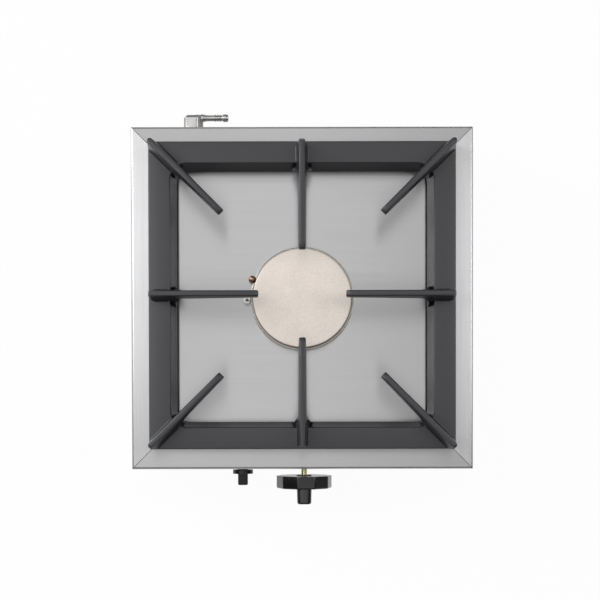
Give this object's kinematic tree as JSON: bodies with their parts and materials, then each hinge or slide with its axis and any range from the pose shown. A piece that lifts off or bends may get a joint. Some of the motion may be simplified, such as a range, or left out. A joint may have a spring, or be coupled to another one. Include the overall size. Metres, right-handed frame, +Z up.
{
  "type": "propane gas burner",
  "caption": "Square countertop gas burner: stainless casing on rubber feet, drip tray, ribbed cast-iron pan support, round burner, push-and-turn knob, piezo igniter, hose tail.",
  "frame": {"origin": "middle of the whole outline at table level, under the feet", "axes": "+Z up; the front with the knob towards -Y, the gas inlet towards +Y; +X to the right seen from the front"},
  "size_m": [0.4, 0.4706, 0.171],
  "materials": {
    "casing_steel": "brushed stainless steel",
    "tray_steel": "finely brushed stainless steel",
    "base_steel": "galvanised",
    "zinc_screws": "zinc plated",
    "foot_rubber": "moulded",
    "pan_iron": "sand cast, matt black enamel",
    "cap_alloy": "sand cast",
    "crown_alloy": "die cast, machined flange",
    "bowl_alloy": "die cast",
    "shutter_steel": "pressed",
    "tap_brass": "machined",
    "spindle_brass": "turned",
    "spring_steel": "drawn wire",
    "magnet_steel": "nickel plated",
    "pipe_copper": "drawn copper",
    "elbow_nickel": "nickel-plated brass",
    "knob_plastic": "moulded, fine satin",
    "igniter_plastic": "moulded",
    "button_plastic": "moulded",
    "spark_ceramic": "fired alumina",
    "spark_wire": "heat darkened",
    "probe_copper": "heat-darkened copper",
    "lead_silicone": "silicone sleeve"
  },
  "bodies": {
    "casing": {"front_panel": "casing_steel", "rear_panel": "casing_steel", "left_panel": "casing_steel", "right_panel": "casing_steel", "base_plate": "base_steel", "burner_bracket_left": "base_steel", "burner_bracket_right": "base_steel", "tap_bracket": "base_steel", "sensor_bracket": "base_steel", "base_screws": "zinc_screws", "foot_bolts": "zinc_screws", "bracket_screws": "zinc_screws", "tap_screws": "zinc_screws", "sensor_screw": "zinc_screws", "thermocouple_nut": "zinc_screws", "inlet_nut": "zinc_screws", "foot_front_left": "foot_rubber", "foot_front_right": "foot_rubber", "foot_rear_left": "foot_rubber", "foot_rear_right": "foot_rubber", "burner_bowl": "bowl_alloy", "gas_tap": "tap_brass", "tap_bonnet": "tap_brass", "injector": "tap_brass", "pipe_nut_tap": "tap_brass", "pipe_nut_rear": "tap_brass", "inlet_fitting": "tap_brass", "igniter_spring": "spring_steel", "magnet_unit": "magnet_steel", "supply_pipe": "pipe_copper", "thermocouple_lead": "pipe_copper", "inlet_elbow": "elbow_nickel", "igniter_body": "igniter_plastic", "igniter_nut": "igniter_plastic", "electrode_ceramic": "spark_ceramic", "electrode_wire": "spark_wire", "thermocouple": "probe_copper", "ignition_lead": "lead_silicone"},
    "drip_tray": {"drip_tray": "tray_steel"},
    "pan_support": {"pan_support": "pan_iron"},
    "burner_cap": {"burner_cap": "cap_alloy"},
    "burner_crown": {"burner_crown": "crown_alloy"},
    "tap_plug": {"tap_plug": "tap_brass", "tap_spring": "spring_steel"},
    "spindle": {"tap_spindle": "spindle_brass", "knob": "knob_plastic"},
    "igniter_button": {"igniter_button": "button_plastic"},
    "air_shutter": {"air_shutter": "shutter_steel", "shutter_screw": "zinc_screws"}
  },
  "joints": [
    {"name": "pan_support_lift", "type": "slide", "parent": "casing", "child": "pan_support", "axis": [0, 0, 1], "range_m": [0, 0.2]},
    {"name": "burner_cap_lift", "type": "slide", "parent": "casing", "child": "burner_cap", "axis": [0, 0, 1], "range_m": [0, 0.15]},
    {"name": "burner_crown_lift", "type": "slide", "parent": "casing", "child": "burner_crown", "axis": [0, 0, 1], "range_m": [0, 0.1]},
    {"name": "drip_tray_lift", "type": "slide", "parent": "casing", "child": "drip_tray", "axis": [0, 0, 1], "range_m": [0, 0.05]},
    {"name": "tap_turn", "type": "hinge", "parent": "casing", "child": "tap_plug", "pos_m": [0.002, -0.1636, 0.082], "axis": [0, -1, 0], "range_deg": [0, 180]},
    {"name": "spindle_push", "type": "slide", "parent": "tap_plug", "child": "spindle", "axis": [0, 1, 0], "range_m": [0, 0.0035], "stiffness_N_per_m": 1500, "springref_m": -0.004, "deforming": ["tap_spring"]},
    {"name": "igniter_push", "type": "slide", "parent": "casing", "child": "igniter_button", "axis": [0, 1, 0], "range_m": [0, 0.0038], "stiffness_N_per_m": 1800, "springref_m": -0.003, "deforming": ["igniter_spring"]},
    {"name": "air_shutter_slide", "type": "slide", "parent": "casing", "child": "air_shutter", "axis": [0, 1, 0], "range_m": [0, 0.0075]}
  ],
  "couplings": [
    {"joint": "burner_cap_lift", "follows": "pan_support_lift", "ratio": 0.75},
    {"joint": "burner_crown_lift", "follows": "pan_support_lift", "ratio": 0.5},
    {"joint": "drip_tray_lift", "follows": "pan_support_lift", "ratio": 0.25}
  ]
}
